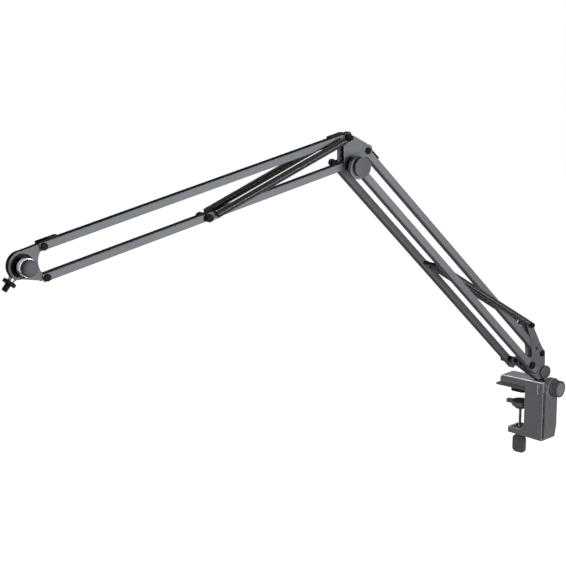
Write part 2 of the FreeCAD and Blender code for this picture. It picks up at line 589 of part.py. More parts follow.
knob("elbow_knob", elbow_at, knob_back, "elbow_knob", "axle_diameter")
knob("base_knob", knob_bolt_at, f"{cheek_outer} + seat_gap", "base_knob", "pin_diameter")
hub_half = f"({head_width} / 2 - cheek_wall - hub_gap)"
collar_back = f"({hub_half} + hub_boss_depth + seat_gap)"
head_knob_back = f"({collar_back} + collar_depth + seat_gap)"
knob("head_knob", head_at, head_knob_back, "head_knob", "axle_diameter")


plain_rod("base_knob_bolt", knob_bolt_at, "pin_diameter", f"-{cheek_outer} - seat_gap - knob_socket",
          f"{cheek_outer} + seat_gap + nut_height")
plain_rod("head_bolt", head_at, "axle_diameter", f"-{head_knob_back} - knob_socket",
          f"{head_width} / 2 + seat_gap + nut_height")

# Tilting hub: a disc between the head's cheeks, with a boss and a tongue that carries the threaded stub.
hub = new_body("head_hub")
pad(hub, draw_circle(new_sketch(hub, "XZ_Plane"), "0", "0", "hub_diameter"), f"2 * {hub_half}")
tongue = draw_box(new_sketch(hub, "XZ_Plane"), "-stub_start", "-stub_width / 2", "0", "stub_width / 2")
pad(hub, tongue, f"2 * {hub_half}")
boss = draw_circle(new_sketch(hub, "XZ_Plane"), "0", "0", "hub_boss")
pad(hub, boss, f"{hub_half} + hub_boss_depth", False)
bore(hub, "XZ_Plane", "0", "0", axle_bore)
settle(hub, head_at[0], swivel_y, head_at[1], across, "-stub_angle")

collar = ring("collar_diameter", f"-{collar_back}", f"-{collar_back} - collar_depth")
settle_arm(turned("head_collar", collar), head_at)


# Pieces along the stub, turned about the tilting hub's own -X.
def stub_piece(label, section):
    body = new_body(label)
    corners = [(f"-({along})", radius) for along, radius in section]
    sketch = draw_polygon(new_sketch(body, "XZ_Plane"), corners)
    feature = body.newObject("PartDesign::Revolution", f"{label}_revolution")
    feature.Profile = sketch
    feature.ReferenceAxis = (sketch, ["H_Axis"])
    settle(body, head_at[0], swivel_y, head_at[1], across, "-stub_angle")
    return body


thread_start = "stub_end + seat_gap + lock_nut_height + seat_gap"
thread_end = f"{thread_start} + thread_length"
stub_piece("mic_stub", [("stub_start", "relief_diameter / 2"), ("stub_start", "stub_width / 2"),
                        ("stub_end", "stub_width / 2"), ("stub_end", "relief_diameter / 2")])
stub_piece("mic_stud", [("stub_start", "0"), ("stub_start", "relief_diameter / 2"),
                        (thread_start, "relief_diameter / 2"),
                        (thread_start, "thread_diameter / 2"), (thread_end, "thread_diameter / 2"),
                        (f"{thread_end} + thread_chamfer", "thread_diameter / 2 - thread_chamfer"),
                        (f"{thread_end} + thread_chamfer", "0")])
nut_hole = "relief_diameter / 2 + running_gap"
nut_back = "stub_end + seat_gap"
nut = stub_piece("lock_nut", [(nut_back, nut_hole), (nut_back, "lock_nut_diameter / 2"),
                              (f"{nut_back} + lock_nut_height", "lock_nut_diameter / 2"),
                              (f"{nut_back} + lock_nut_height", nut_hole)])


# Repeats one cut round the axis that is square to its sketch.
def repeat_cut(body, sketch, length, reverse, count):
    cutter = pocket(body, sketch, length, False, reverse)
    pattern = body.newObject("PartDesign::PolarPattern", f"{body.Label}_pattern")
    pattern.Originals = [cutter]
    pattern.Axis = (sketch, ["N_Axis"])
    bind(pattern, "Occurrences", count)
    body.Tip = pattern


notch = new_sketch(nut, "YZ_Plane", f"-({nut_back}) + overrun")
draw_circle(notch, "0", "lock_nut_diameter / 2", "lock_nut_notch")
repeat_cut(nut, notch, "2 * overrun", False, "lock_nut_notches")


# Pieces of the desk clamp, turned together about Z.
def settle_clamp(item, x="0", y="0", z="0"):
    return settle(item, x, y, z, upward, "clamp_yaw")


clamp = new_body("clamp_body")
profile = new_sketch(clamp, "YZ_Plane")
draw_polygon(profile, [("-clamp_back", "clamp_top"), ("-clamp_back", "-clamp_bottom"),
                       ("lower_jaw_tip", "-lower_jaw_under"), ("lower_jaw_tip", "-lower_jaw_top"),
                       ("-clamp_throat", "-lower_jaw_top"), ("-clamp_throat", "upper_jaw_under"),
                       ("upper_jaw_tip", "upper_jaw_under"), ("upper_jaw_tip", "clamp_top")])
pad(clamp, profile, "clamp_width")


def in_throat(edge):
    aside = edge.CenterOfMass - Vector(0, -sizes["clamp_throat"], -sizes["lower_jaw_top"])
    return runs_along(edge, beam) and aside.Length < tolerance


soften(clamp, "Fillet", "Radius", "throat_radius", in_throat)
low_tip = sizes["lower_jaw_tip"]
soften(clamp, "Fillet", "Radius", "lower_tip_radius",
       lambda edge: runs_along(edge, upward) and abs(edge.CenterOfMass.y - low_tip) < tolerance)


# The upper jaw's tip is rounded over, and one small rounding runs up both sides of it and round the top.
def on_jaw_tip(edge):
    spot = edge.CenterOfMass - Vector(0, sizes["upper_jaw_tip"], sizes["clamp_top"])
    return runs_along(edge, beam) and spot.Length < tolerance


def on_jaw_rim(edge):
    box = edge.BoundBox
    if runs_along(edge, beam):
        spot = edge.CenterOfMass - Vector(0, -sizes["clamp_back"], sizes["clamp_top"])
        return spot.Length < tolerance
    above = min(box.ZMin + tolerance, box.ZMax - tolerance) > sizes["upper_jaw_under"]
    return above and box.XLength < tolerance and abs(abs(box.Center.x) - sizes["clamp_width"] / 2) < tolerance


soften(clamp, "Fillet", "Radius", "upper_tip_round", on_jaw_tip)
soften(clamp, "Fillet", "Radius", "top_edge", on_jaw_rim)
trough = new_sketch(clamp, "XY_Plane", "-trough_floor")
draw_box(trough, "-clamp_width / 2 + trough_wall", "-clamp_throat + trough_wall",
         "clamp_width / 2 - trough_wall", "lower_jaw_tip - trough_wall")
pocket(clamp, trough, "overrun", False, True)

# The clamp's back is a rounded cover, set in from the sides and drawn in at both ends.
cover = new_sketch(clamp, "YZ_Plane")
cover_top = "(clamp_top - cover_drop)"
cover_low = "(cover_foot - clamp_bottom)"
cover_back = "(-clamp_back - cover_depth)"
draw_polygon(cover, [("-clamp_back", cover_top), (f"{cover_back} + cover_tuck", cover_top),
                     (cover_back, f"{cover_top} - cover_taper"), (cover_back, f"{cover_low} + cover_taper"),
                     (f"{cover_back} + cover_tuck", cover_low), ("-clamp_back", cover_low)])
pad(clamp, cover, "clamp_width - 2 * cover_inset")


def on_cover_side(edge):
    box = edge.BoundBox
    flank = sizes["clamp_width"] / 2 - sizes["cover_inset"]
    return (box.XLength < tolerance and abs(abs(box.Center.x) - flank) < tolerance
            and box.Center.y < -sizes["clamp_back"] - tolerance)


soften(clamp, "Fillet", "Radius", "cover_round", on_cover_side)
seam = new_sketch(clamp, "XY_Plane")
for sign in ("-1", "1"):
    draw_box(seam, f"{sign} * seam_half", "-clamp_back - seam_width", f"{sign} * clamp_width", "-clamp_back")
pocket(clamp, seam, "2 * clamp_bottom + overrun")
boss = new_sketch(clamp, "XZ_Plane", "clamp_back")
draw_circle(boss, "0", "lock_height", "boss_diameter")
pad(clamp, boss, "cover_depth + boss_proud", False)
socket = new_sketch(clamp, "XY_Plane", "clamp_top")
draw_circle(socket, "0", "-screw_offset", "post_diameter + 2 * running_gap")
pocket(clamp, socket, "post_depth + seat_gap", False)
lock_hole = new_sketch(clamp, "XZ_Plane", "screw_offset")
draw_circle(lock_hole, "0", "lock_height", "lock_screw_diameter + 2 * running_gap")
pocket(clamp, lock_hole, "overrun", False, True)
screw_hole = new_sketch(clamp, "XY_Plane", "-clamp_bottom")
draw_circle(screw_hole, "0", "0", "screw_diameter + 2 * running_gap")
pocket(clamp, screw_hole, "clamp_bottom - upper_jaw_under", False, True)
recess = new_sketch(clamp, "YZ_Plane", "-clamp_width / 2")
recess_y = "-clamp_back + recess_back"
recess_z = "clamp_top - recess_top"
draw_box(recess, recess_y, f"{recess_z} - recess_height", f"{recess_y} + recess_width", recess_z)
pocket(clamp, recess, "2 * recess_depth")
settle_clamp(clamp)

# Moulded block under the upper jaw, with a flange past the jaw's tip, and the rubber pad below it.
jaw_plate = new_body("jaw_plate")
plate_start = "-clamp_throat + seat_gap"
slab = new_sketch(jaw_plate, "XY_Plane", "jaw_plate_low")
draw_box(slab, "-jaw_plate_half", plate_start, "jaw_plate_half", "jaw_plate_tip")
pad(jaw_plate, slab, "jaw_plate_height", False)
soften(jaw_plate, "Fillet", "Radius", "jaw_plate_radius",
       lambda edge: runs_along(edge, upward) and edge.CenterOfMass.y > 0)
block = new_sketch(jaw_plate, "XY_Plane", "jaw_plate_low")
draw_box(block, "-jaw_block_half", plate_start, "jaw_block_half", "jaw_block_tip")
pad(jaw_plate, block, "upper_jaw_under - jaw_plate_low", False)
settle_clamp(jaw_plate)
jaw_pad = new_body("jaw_pad")
slab = new_sketch(jaw_pad, "XY_Plane")
draw_box(slab, "-pad_half", "-pad_back", "pad_half", "pad_tip")
pad(jaw_pad, slab, "jaw_plate_low", False)
soften(jaw_pad, "Fillet", "Radius", "pad_corner", lambda edge: runs_along(edge, upward))
settle_clamp(jaw_pad)

# Swivel post in the clamp, with its washer, flange and the neck that the bracket's foot sits on.
flange_low = "clamp_top + washer_height"
flange_top = f"{flange_low} + post_flange_height"
post_low = "clamp_top - post_depth"
post = turned("swivel_post", [("0", post_low), ("post_diameter / 2", post_low),
                              ("post_diameter / 2", flange_low), ("post_flange / 2", flange_low),
                              ("post_flange / 2", flange_top), ("post_neck / 2", flange_top),
                              ("post_neck / 2", f"{flange_top} + post_neck_height"),
                              ("0", f"{flange_top} + post_neck_height")], role="XZ_Plane")
bore(post, "XZ_Plane", "0", f"{flange_top} + knob_bolt_rise", pin_bore)
settle(post, swivel_x, swivel_y)
washer_hole = "post_diameter / 2 + side_gap"
washer = turned("swivel_washer", [(washer_hole, "clamp_top"), ("post_flange / 2", "clamp_top"),
                                  ("post_flange / 2", flange_low), (washer_hole, flange_low)],
                role="XZ_Plane")
settle(washer, swivel_x, swivel_y)

# Lock knob on the clamp's back: a ribbed grip with a collar and a screw that bears on the post.
lock_back = "(clamp_back + cover_depth + boss_proud + lock_stand_off)"
lock_step = f"({lock_back} + lock_collar_length)"
lock_front = f"({lock_step} + lock_knob_length)"
lock_floor = f"-{lock_front} + lock_knob_length / 2"
lock_dish = "lock_knob_diameter / 2 - lock_face_rim"
lock = turned("swivel_lock_knob", [("lock_screw_diameter / 2", f"-{lock_back}"),
                                   ("lock_collar_diameter / 2", f"-{lock_back}"),
                                   ("lock_collar_diameter / 2", f"-{lock_step}"),
                                   ("lock_knob_diameter / 2", f"-{lock_step}"),
                                   ("lock_knob_diameter / 2", f"-{lock_front}"),
                                   (lock_dish, f"-{lock_front}"),
                                   (lock_dish, f"-{lock_front} + lock_face_recess"),
                                   ("0", f"-{lock_front} + lock_face_recess"),
                                   ("0", lock_floor), ("lock_screw_diameter / 2", lock_floor)])
groove = new_sketch(lock, "XZ_Plane", lock_step)
draw_circle(groove, "lock_knob_diameter / 2", "0", "lock_rib_cut")
repeat_cut(lock, groove, "lock_knob_length + overrun", True, "lock_ribs")
settle_clamp(lock, z="lock_height")
lock_tip = "-screw_offset - post_diameter / 2 - seat_gap"
lock_screw = turned("swivel_lock_screw", [("0", lock_tip), ("lock_screw_diameter / 2", lock_tip),
                                          ("lock_screw_diameter / 2", lock_floor), ("0", lock_floor)])
settle_clamp(lock_screw, z="lock_height")

# Clamp screw with its pressure plate above the lower jaw and a thumb paddle below it.
plate_top = "-screw_top"
disc_top = f"{plate_top} - plate_pad_height"
plate_low = f"{disc_top} - plate_height"
pad_rim = "plate_diameter / 2 - plate_pad_inset"
plate_pad = turned("plate_pad", [("0", plate_top), (pad_rim, plate_top),
                                 (pad_rim, disc_top), ("0", disc_top)], role="XZ_Plane")
settle_clamp(plate_pad)
plate = turned("pressure_plate", [("0", disc_top), ("plate_diameter / 2", disc_top),
                                  ("plate_diameter / 2", f"{disc_top} - plate_edge"),
                                  ("plate_hub / 2", plate_low), ("0", plate_low)], role="XZ_Plane")
lug = new_sketch(plate, "XY_Plane", f"{disc_top} - plate_edge")
draw_box(lug, "-plate_lug_width / 2", "0", "plate_lug_width / 2", "plate_lug")
pad(plate, lug, "plate_edge", False)
ball_seat = new_sketch(plate, "XY_Plane", plate_low)
draw_circle(ball_seat, "0", "0", "screw_ball + 2 * running_gap")
pocket(plate, ball_seat, "plate_socket_depth + seat_gap", False, True)
settle_clamp(plate)
screw_low = f"{plate_low} - screw_length"
ball_top = f"{plate_low} + plate_socket_depth"
screw = turned("clamp_screw", [("0", ball_top), ("screw_ball / 2", ball_top),
                               ("screw_ball / 2", f"{plate_low} - seat_gap"),
                               ("screw_diameter / 2", f"{plate_low} - seat_gap"),
                               ("screw_diameter / 2", screw_low), ("0", screw_low)], role="XZ_Plane")
settle_clamp(screw)
paddle = new_body("screw_handle")
paddle_top = f"{screw_low} + paddle_grip"
blade = new_sketch(paddle, "YZ_Plane")
draw_box(blade, "-paddle_width / 2", f"{paddle_top} - paddle_height", "paddle_width / 2", paddle_top)
pad(paddle, blade, "paddle_thickness")
soften(paddle, "Fillet", "Radius", "paddle_corner", lambda edge: runs_along(edge, beam))
soften(paddle, "Fillet", "Radius", "paddle_edge", lambda edge: not runs_along(edge, beam))
seat = draw_circle(new_sketch(paddle, "XY_Plane", screw_low), "0", "0", "screw_diameter")
pocket(paddle, seat, "paddle_grip + overrun", False, True)
settle_clamp(paddle)


# Springs. Each is one wire: a shank off its pin, a helix, and a shank to the other pin.
def arc_pair(start, start_way, end, end_way):
    span = end - start
    ways = start_way + end_way
    bend = 2 * (1 - start_way.dot(end_way))
    lean = span.dot(ways)
    reach = (math.sqrt(lean * lean + bend * span.dot(span)) - lean) / bend
    joint = (start + start_way * reach + end - end_way * reach) * 0.5
    return [arc_between(start, start_way, joint), arc_between(end, end_way * -1, joint)]


# Arc from a point with a known direction to another point: its middle lies a sagitta off the chord.
def arc_between(start, way, end):
    chord = end - start
    unit = Vector(chord).normalize()
    side = way - unit * way.dot(unit)
    lean = math.atan2(side.Length, way.dot(unit))
    middle = start + chord * 0.5 + side.normalize() * (chord.Length / 2 * math.tan(lean / 2))
    return Part.Arc(start, middle, end).toShape()


# One spring along X from a pin at the origin to a pin at the given distance.
def wound_spring(span, outer):
    wire = size_of("wire_diameter")
    mean = (outer - wire) / 2
    shank = size_of("spring_shank")
    clear = size_of("pin_diameter") / 2 + size_of("seat_gap") + wire
    curls = int(size_of("spring_curls"))
    start = beam * clear
    end = beam * (span - clear)
    first = start + beam * shank
    pitch = (span - 2 * clear - 2 * shank) / curls

    def spot(turn):
        angle = 2 * math.pi * turn
        return first + beam * (pitch * turn) + (across * math.cos(angle) + upward * math.sin(angle)) * mean

    def way(turn):
        angle = 2 * math.pi * turn
        round_way = (upward * math.cos(angle) - across * math.sin(angle)) * (2 * math.pi * mean)
        return (beam * pitch + round_way).normalize()

    edges = [Part.LineSegment(start - beam * wire, start).toShape()]
    edges += arc_pair(start, beam, spot(0), way(0))
    for half in range(2 * curls):
        edges += arc_pair(spot(half / 2), way(half / 2), spot((half + 1) / 2), way((half + 1) / 2))
    edges += arc_pair(spot(curls), way(curls), end, beam)
    edges.append(Part.LineSegment(end, end + beam * wire).toShape())
    path = Part.Wire(Part.__sortEdges__(edges))
    outline = Part.Wire(Part.Circle(start - beam * wire, beam, wire / 2).toShape())
    solid = path.makePipeShell([outline], True, False)
    points = path.discretize(Distance=wire)
    apart = int(math.pi * mean / wire)
    least = min((points[one] - other).Length for one in range(len(points))
                for other in points[one + apart:one + 4 * apart])
    return solid, least - wire


def size_of(name):
    return sheet.get(name)


def turn_of(name):
    return math.radians(size_of(name))


base_point = Vector(size_of("screw_offset") * math.sin(turn_of("clamp_yaw")) + size_of("base_pivot_x"),
                    -size_of("screw_offset") * math.cos(turn_of("clamp_yaw")), size_of("base_pivot_z"))
lower_way = Vector(-math.cos(turn_of("lower_arm_angle")), 0, math.sin(turn_of("lower_arm_angle")))
fore_way = Vector(-math.cos(turn_of("forearm_angle")), 0, -math.sin(turn_of("forearm_angle")))
elbow_point = base_point + lower_way * size_of("lower_arm_length")
spring_ends = {
    "forearm": (elbow_point + Vector(size_of("upper_offset_x"), 0, size_of("upper_offset_z")),
                elbow_point + fore_way * size_of("forearm_anchor")),
    "lower": (base_point + Vector(size_of("base_top_x"), 0, size_of("base_top_z")),
              base_point + lower_way * size_of("lower_anchor")),
}
for arm, (top, foot) in spring_ends.items():
    line = foot - top
    solid, gap = wound_spring(line.Length, size_of(f"{arm}_spring_outer"))
    print(f"{arm} spring: least gap to itself {gap:.2f} mm")
    for side, sign in (("near", -1), ("far", 1)):
        spring = doc.addObject("Part::Feature", f"{side}_{arm}_spring")
        spring.Label = f"{side}_{arm}_spring"
        spring.Shape = solid
        spring.Placement = Placement(top + across * (sign * size_of(f"{arm}_spring_side")),
                                     Rotation(across, math.degrees(math.atan2(-line.z, line.x))))
        nodes.append(spring)

doc.recompute()
for item in doc.Objects:
    if "Invalid" in item.State or "Error" in item.State:
        raise RuntimeError(f"{item.Label} failed: {item.State}")
for node in nodes:
    if node.Shape.isNull() or not node.Shape.isValid() or not node.Shape.Solids:
        raise RuntimeError(f"{node.Label} has no valid solid")
os.makedirs("parts", exist_ok=True)
for node in nodes:
    node.Shape.exportStep(f"parts/{node.Label}.step")
print(f"{len(nodes)} parts written")
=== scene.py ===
import json
import math
import bpy
import numpy as np
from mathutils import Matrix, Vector


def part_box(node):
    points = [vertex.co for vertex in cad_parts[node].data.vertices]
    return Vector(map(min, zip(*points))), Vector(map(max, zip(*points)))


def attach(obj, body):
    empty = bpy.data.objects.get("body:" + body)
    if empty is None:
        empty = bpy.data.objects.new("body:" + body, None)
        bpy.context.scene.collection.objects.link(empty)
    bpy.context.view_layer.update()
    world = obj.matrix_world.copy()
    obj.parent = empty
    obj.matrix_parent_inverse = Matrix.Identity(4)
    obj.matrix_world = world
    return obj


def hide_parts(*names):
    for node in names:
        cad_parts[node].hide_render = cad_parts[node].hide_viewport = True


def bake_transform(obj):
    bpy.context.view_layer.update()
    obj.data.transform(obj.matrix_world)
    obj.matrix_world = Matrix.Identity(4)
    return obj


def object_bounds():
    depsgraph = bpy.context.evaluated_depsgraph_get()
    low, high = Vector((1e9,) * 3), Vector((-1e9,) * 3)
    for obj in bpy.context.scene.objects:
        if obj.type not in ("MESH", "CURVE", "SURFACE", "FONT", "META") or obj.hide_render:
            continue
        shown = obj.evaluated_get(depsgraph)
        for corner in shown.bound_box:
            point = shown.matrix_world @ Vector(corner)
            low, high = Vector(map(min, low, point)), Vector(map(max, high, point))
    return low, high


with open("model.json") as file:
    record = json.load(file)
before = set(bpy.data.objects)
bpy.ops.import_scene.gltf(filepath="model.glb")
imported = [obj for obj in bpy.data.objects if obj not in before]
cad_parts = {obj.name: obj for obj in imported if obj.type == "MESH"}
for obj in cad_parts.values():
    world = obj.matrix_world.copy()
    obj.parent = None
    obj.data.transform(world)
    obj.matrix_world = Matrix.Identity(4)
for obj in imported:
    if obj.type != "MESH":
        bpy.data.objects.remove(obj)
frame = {"nodes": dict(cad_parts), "record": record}
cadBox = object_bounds()
joints = {j["name"]: j for j in frame["record"]["behaviour"]["joints"]}
mm = 0.001

# camera fitted to the photo: place and view direction in the arm's frame, focal length for a 36 mm sensor
cameraSet = {"place": (-2.0367, -1.9514, 0.7908), "look": (0.58924, 0.78013, -0.21024), "lens": 94.67,
             "sensor": 36, "far": 50}

camera = bpy.data.objects.new("photoCamera", bpy.data.cameras.new("photoCamera"))
camera.data.lens = cameraSet["lens"]
camera.data.sensor_width = cameraSet["sensor"]
camera.data.clip_end = cameraSet["far"]
camera.location = cameraSet["place"]
camera.rotation_euler = Vector(cameraSet["look"]).to_track_quat("-Z", "Y").to_euler()
bpy.context.collection.objects.link(camera)
bpy.context.scene.camera = camera
bpy.context.scene.view_settings.view_transform = "Standard"
print("camera set")

# soft studio light: a wide key close in front of the forearm, so that it fades towards the clamp, a weak fill
# from the left, a back light for the side away from the photo, and two spots on the clamp, one on its side and
# one from behind and above for its top
lampSet = {
    "key": {"kind": "AREA", "place": (-0.7, -1.2, 0.45), "aim": (-0.85, 0, 0.40),
            "wide": 1.0, "tall": 0.4, "power": 28},
    "fill": {"kind": "AREA", "place": (-2.2, -2.3, 0.5), "aim": (-0.5, 0, 0.3),
             "wide": 1.6, "tall": 0.8, "power": 4},
    "back": {"kind": "AREA", "place": (-0.5, 3.0, 0.25), "aim": (-0.5, 0, 0.25),
             "wide": 2.6, "tall": 0.5, "power": 60},
    "clampSpot": {"kind": "SPOT", "place": (-1.5, -1.3, 0.5), "aim": (0, -0.03, -0.02),
                  "cone": 9, "soft": 0.6, "radius": 0.15, "power": 20},
    "edgeSpot": {"kind": "SPOT", "place": (-0.5, 0.95, 1.1), "aim": (0, -0.03, 0.0),
                 "cone": 8, "soft": 0.6, "radius": 0.1, "power": 40},
}
for lampName, spec in lampSet.items():
    light = bpy.data.lights.new(lampName, spec["kind"])
    light.energy = spec["power"]
    if spec["kind"] == "AREA":
        light.shape = "RECTANGLE"
        light.size = spec["wide"]
        light.size_y = spec["tall"]
    else:
        light.spot_size = math.radians(spec["cone"])
        light.spot_blend = spec["soft"]
        light.shadow_soft_size = spec["radius"]
    lamp = bpy.data.objects.new(lampName, light)
    lamp.location = spec["place"]
    toAim = Vector(spec["aim"]) - Vector(spec["place"])
    lamp.rotation_euler = toAim.to_track_quat("-Z", "Y").to_euler()
    bpy.context.collection.objects.link(lamp)


# white where the camera, a mirror or glass looks at it, and a plain level of light elsewhere
def whiteSeen(tree, dim):
    path = tree.nodes.new("ShaderNodeLightPath")
    seen = None
    for ray in ("Is Camera Ray", "Is Glossy Ray", "Is Transmission Ray"):
        if seen is None:
            seen = path.outputs[ray]
            continue
        both = tree.nodes.new("ShaderNodeMath")
        both.operation = "MAXIMUM"
        tree.links.new(seen, both.inputs[0])
        tree.links.new(path.outputs[ray], both.inputs[1])
        seen = both.outputs[0]
    level = tree.nodes.new("ShaderNodeMapRange")
    level.inputs["To Min"].default_value = dim
    level.inputs["To Max"].default_value = 1
    tree.links.new(seen, level.inputs["Value"])
    return level.outputs["Result"]


worldLevel = 0.02
world = bpy.data.worlds.new("studio")
world.use_nodes = True
backdrop = world.node_tree.nodes["Background"]
backdrop.inputs["Color"].default_value = (1, 1, 1, 1)
world.node_tree.links.new(whiteSeen(world.node_tree, worldLevel), backdrop.inputs["Strength"])
bpy.context.scene.world = world
floorSet = {"drop": 0.55, "half": 6, "shade": 0.4, "rough": 0.9}
floorZ = cadBox[0].z - floorSet["drop"]
half = floorSet["half"]
floorMesh = bpy.data.meshes.new("floor")
floorCorners = [(-half, -half, floorZ), (half, -half, floorZ), (half, half, floorZ), (-half, half, floorZ)]
floorMesh.from_pydata(floorCorners, [], [(0, 1, 2, 3)])
floor = bpy.data.objects.new("floor", floorMesh)
floorPaint = bpy.data.materials.new("floorWhite")
floorPaint.use_nodes = True
floorTree = floorPaint.node_tree
floorShader = floorTree.nodes["Principled BSDF"]
floorShader.inputs["Base Color"].default_value = (floorSet["shade"],) * 3 + (1,)
floorShader.inputs["Emission Color"].default_value = (1, 1, 1, 1)
floorShader.inputs["Roughness"].default_value = floorSet["rough"]
floorTree.links.new(whiteSeen(floorTree, 0.0), floorShader.inputs["Emission Strength"])
floorMesh.materials.append(floorPaint)
bpy.context.collection.objects.link(floor)
print("studio set")


# settings that all finishes share: noise detail, samples of the bevel, depth of the grain and tint; a colour
# mix has its two colours at sockets 6 and 7 and its result at output 2
groupSet = {"fineDetail": 2, "patchDetail": 5, "bevelSamples": 4, "bumpDepth": 0.4 * mm,
            "tint": (1, 1.05, 1.13)}
firstColour, secondColour, mixedColour = 6, 7, 2


# grain of a painted or moulded skin: two noises, one fine for the bump, one broad for patches and rubbing
def makeSkinGroup():
    group = bpy.data.node_groups.new("skinGrain", "ShaderNodeTree")
    for label, low, high in (("Grain Scale", 100, 4000), ("Patch Scale", 1, 300), ("Spread", 0, 1)):
        socket = group.interface.new_socket(label, in_out="INPUT", socket_type="NodeSocketFloat")
        socket.min_value = low
        socket.max_value = high
    for label in ("Fine", "Patch", "Rough Shift"):
        group.interface.new_socket(label, in_out="OUTPUT", socket_type="NodeSocketFloat")
    add = group.nodes.new
    entry = add("NodeGroupInput")
    leave = add("NodeGroupOutput")
    place = add("ShaderNodeTexCoord")
    fine = add("ShaderNodeTexNoise")
    fine.inputs["Detail"].default_value = groupSet["fineDetail"]
    patch = add("ShaderNodeTexNoise")
    patch.inputs["Detail"].default_value = groupSet["patchDetail"]
    for noise, label in ((fine, "Grain Scale"), (patch, "Patch Scale")):
        group.links.new(place.outputs["Object"], noise.inputs["Vector"])
        group.links.new(entry.outputs[label], noise.inputs["Scale"])
    centred = add("ShaderNodeMath")
    centred.operation = "SUBTRACT"
    centred.inputs[1].default_value = 0.5
    shift = add("ShaderNodeMath")
    shift.operation = "MULTIPLY"
    group.links.new(patch.outputs["Fac"], centred.inputs[0])
    group.links.new(centred.outputs[0], shift.inputs[0])
    group.links.new(entry.outputs["Spread"], shift.inputs[1])
    group.links.new(fine.outputs["Fac"], leave.inputs["Fine"])
    group.links.new(patch.outputs["Fac"], leave.inputs["Patch"])
    group.links.new(shift.outputs[0], leave.inputs["Rough Shift"])
    return group


# rounded edges: the bevelled normal, and a mask of painted highlight that grows where it leans away from the
# flat one
def makeEdgeGroup():
    group = bpy.data.node_groups.new("edgeSheen", "ShaderNodeTree")
    for label, low, high in (("Radius", 0, 0.005), ("Reach", 0, 20)):
        socket = group.interface.new_socket(label, in_out="INPUT", socket_type="NodeSocketFloat")
        socket.min_value = low
        socket.max_value = high
    group.interface.new_socket("Normal", in_out="OUTPUT", socket_type="NodeSocketVector")
    group.interface.new_socket("Mask", in_out="OUTPUT", socket_type="NodeSocketFloat")
    add = group.nodes.new
    entry = add("NodeGroupInput")
    leave = add("NodeGroupOutput")
    bevel = add("ShaderNodeBevel")
    bevel.samples = groupSet["bevelSamples"]
    flat = add("ShaderNodeNewGeometry")
    lean = add("ShaderNodeVectorMath")
    lean.operation = "DOT_PRODUCT"
    turned = add("ShaderNodeMath")
    turned.operation = "SUBTRACT"
    turned.inputs[0].default_value = 1
    grown = add("ShaderNodeMath")
    grown.operation = "MULTIPLY"
    grown.use_clamp = True
    group.links.new(entry.outputs["Radius"], bevel.inputs["Radius"])
    group.links.new(bevel.outputs["Normal"], lean.inputs[0])
    group.links.new(flat.outputs["Normal"], lean.inputs[1])
    group.links.new(lean.outputs["Value"], turned.inputs[1])
    group.links.new(turned.outputs[0], grown.inputs[0])
    group.links.new(entry.outputs["Reach"], grown.inputs[1])
    group.links.new(bevel.outputs["Normal"], leave.inputs["Normal"])
    group.links.new(grown.outputs[0], leave.inputs["Mask"])
    return group
